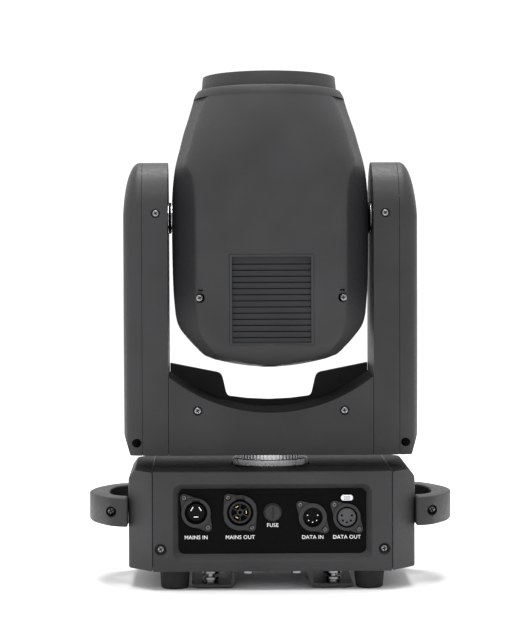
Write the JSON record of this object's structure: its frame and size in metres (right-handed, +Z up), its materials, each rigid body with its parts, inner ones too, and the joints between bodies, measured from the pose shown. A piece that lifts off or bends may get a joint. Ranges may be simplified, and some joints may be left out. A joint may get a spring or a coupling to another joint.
{
  "type": "moving head light",
  "caption": "Stage light whose lamp head pans and tilts in a yoke on a base with handles, power and data sockets and clamp brackets.",
  "frame": {"origin": "on the floor, under the pan axis, at the middle of the feet", "axes": "+Z up along the pan axis; -Y towards the connector side; X along the tilt axis"},
  "size_m": [0.3008, 0.168, 0.4198],
  "materials": {
    "housing": "fine-textured semi-matte charcoal moulding",
    "panel_black": "smooth black powder coat",
    "socket_black": "satin black moulding",
    "rubber": "matt black rubber",
    "steel": "plated steel",
    "bracket_paint": "black powder coat",
    "aluminium": "plain mill finish",
    "motor": "dark satin",
    "glass": "clear coated glass",
    "display": "dark glossy window",
    "button": "soft matt keycap"
  },
  "bodies": {
    "base": {"base_chassis": "steel", "pan_pulley": "steel", "base_top_cover": "housing", "rear_bezel": "housing", "front_bezel": "housing", "side_cover_left": "housing", "side_cover_right": "housing", "handle_left": "housing", "handle_right": "housing", "connector_plate": "panel_black", "power_in_socket": "socket_black", "power_out_socket": "socket_black", "data_in_socket": "socket_black", "data_out_socket": "socket_black", "fuse_holder": "socket_black", "foot_rear_left": "rubber", "foot_rear_right": "rubber", "foot_front_left": "rubber", "foot_front_right": "rubber", "omega_bracket_left": "bracket_paint", "omega_bracket_right": "bracket_paint", "power_supply": "aluminium", "display_module": "display"},
    "yoke": {"yoke_frame": "aluminium", "arm_cover_left": "housing", "arm_cover_right": "housing", "arm_side_cover_left": "housing", "arm_side_cover_right": "housing", "crossbeam_cover_rear": "housing", "crossbeam_cover_front": "housing", "pan_motor": "motor", "tilt_motor": "motor", "pan_belt": "rubber", "tilt_belt": "rubber"},
    "head": {"head_rear_shell": "housing", "head_front_shell": "housing", "rear_vent_grille": "housing", "lens_hood": "housing", "front_lens": "glass", "head_frame": "aluminium", "tilt_shaft_left": "steel", "tilt_pulley": "steel", "heat_sink": "aluminium", "led_engine": "display"},
    "pan_pinion": {"pan_pinion": "steel"},
    "tilt_pinion": {"tilt_pinion": "steel"},
    "cooling_fan": {"cooling_fan": "panel_black"},
    "colour_wheel": {"colour_wheel": "glass"},
    "gobo_wheel": {"gobo_wheel": "steel"},
    "focus_carriage": {"focus_carriage": "motor"},
    "fuse_cap": {"fuse_cap": "socket_black"},
    "data_out_latch": {"data_out_latch": "aluminium"},
    "menu_button_mode": {"menu_button_mode": "button"},
    "menu_button_up": {"menu_button_up": "button"},
    "menu_button_enter": {"menu_button_enter": "button"},
    "menu_button_down": {"menu_button_down": "button"},
    "bracket_fastener_rear_left": {"bracket_fastener_rear_left": "steel"},
    "bracket_fastener_rear_right": {"bracket_fastener_rear_right": "steel"},
    "bracket_fastener_front_left": {"bracket_fastener_front_left": "steel"},
    "bracket_fastener_front_right": {"bracket_fastener_front_right": "steel"}
  },
  "joints": [
    {"name": "pan", "type": "hinge", "parent": "base", "child": "yoke", "pos_m": [0, 0, 0.1], "axis": [0, 0, 1], "range_deg": [-270, 270]},
    {"name": "tilt", "type": "hinge", "parent": "yoke", "child": "head", "pos_m": [0, 0, 0.3], "axis": [1, 0, 0], "range_deg": [-131.25, 138.75]},
    {"name": "pan_pinion_spin", "type": "hinge", "parent": "yoke", "child": "pan_pinion", "pos_m": [0.062, 0, 0.1125], "axis": [0, 0, 1], "range_deg": [-970, 970]},
    {"name": "tilt_pinion_spin", "type": "hinge", "parent": "yoke", "child": "tilt_pinion", "pos_m": [0.111, 0, 0.195], "axis": [1, 0, 0], "range_deg": [-430, 455]},
    {"name": "fan_spin", "type": "hinge", "parent": "head", "child": "cooling_fan", "pos_m": [0, -0.06226, 0.23694], "axis": [0, 0.9979, -0.0654], "continuous": true},
    {"name": "colour_wheel_spin", "type": "hinge", "parent": "head", "child": "colour_wheel", "pos_m": [0.024, -0.00092, 0.28603], "axis": [0, 0.0654, 0.9979], "continuous": true},
    {"name": "gobo_wheel_spin", "type": "hinge", "parent": "head", "child": "gobo_wheel", "pos_m": [-0.024, 0.00052, 0.30798], "axis": [0, 0.0654, 0.9979], "continuous": true},
    {"name": "focus_slide", "type": "slide", "parent": "head", "child": "focus_carriage", "axis": [0, 0.0654, 0.9979], "range_m": [-0.012, 0.012]},
    {"name": "fuse_cap_turn", "type": "hinge", "parent": "base", "child": "fuse_cap", "pos_m": [0.0002, -0.079, 0.063], "axis": [0, -1, 0], "range_deg": [0, 45]},
    {"name": "data_out_latch_press", "type": "slide", "parent": "base", "child": "data_out_latch", "axis": [0, 1, 0], "range_m": [0, 0.001], "stiffness_N_per_m": 800},
    {"name": "menu_button_mode_press", "type": "slide", "parent": "base", "child": "menu_button_mode", "axis": [0, -1, 0], "range_m": [0, 0.001], "stiffness_N_per_m": 1200},
    {"name": "menu_button_up_press", "type": "slide", "parent": "base", "child": "menu_button_up", "axis": [0, -1, 0], "range_m": [0, 0.001], "stiffness_N_per_m": 1200},
    {"name": "menu_button_enter_press", "type": "slide", "parent": "base", "child": "menu_button_enter", "axis": [0, -1, 0], "range_m": [0, 0.001], "stiffness_N_per_m": 1200},
    {"name": "menu_button_down_press", "type": "slide", "parent": "base", "child": "menu_button_down", "axis": [0, -1, 0], "range_m": [0, 0.001], "stiffness_N_per_m": 1200},
    {"name": "bracket_fastener_rear_left_turn", "type": "hinge", "parent": "base", "child": "bracket_fastener_rear_left", "pos_m": [-0.05, -0.054, 0.008], "axis": [0, 0, 1], "range_deg": [0, 90]},
    {"name": "bracket_fastener_rear_right_turn", "type": "hinge", "parent": "base", "child": "bracket_fastener_rear_right", "pos_m": [0.05, -0.054, 0.008], "axis": [0, 0, 1], "range_deg": [0, 90]},
    {"name": "bracket_fastener_front_left_turn", "type": "hinge", "parent": "base", "child": "bracket_fastener_front_left", "pos_m": [-0.05, 0.054, 0.008], "axis": [0, 0, 1], "range_deg": [0, 90]},
    {"name": "bracket_fastener_front_right_turn", "type": "hinge", "parent": "base", "child": "bracket_fastener_front_right", "pos_m": [0.05, 0.054, 0.008], "axis": [0, 0, 1], "range_deg": [0, 90]}
  ],
  "couplings": [
    {"joint": "pan_pinion_spin", "follows": "pan", "ratio": -3.575},
    {"joint": "tilt_pinion_spin", "follows": "tilt", "ratio": 3.25}
  ]
}
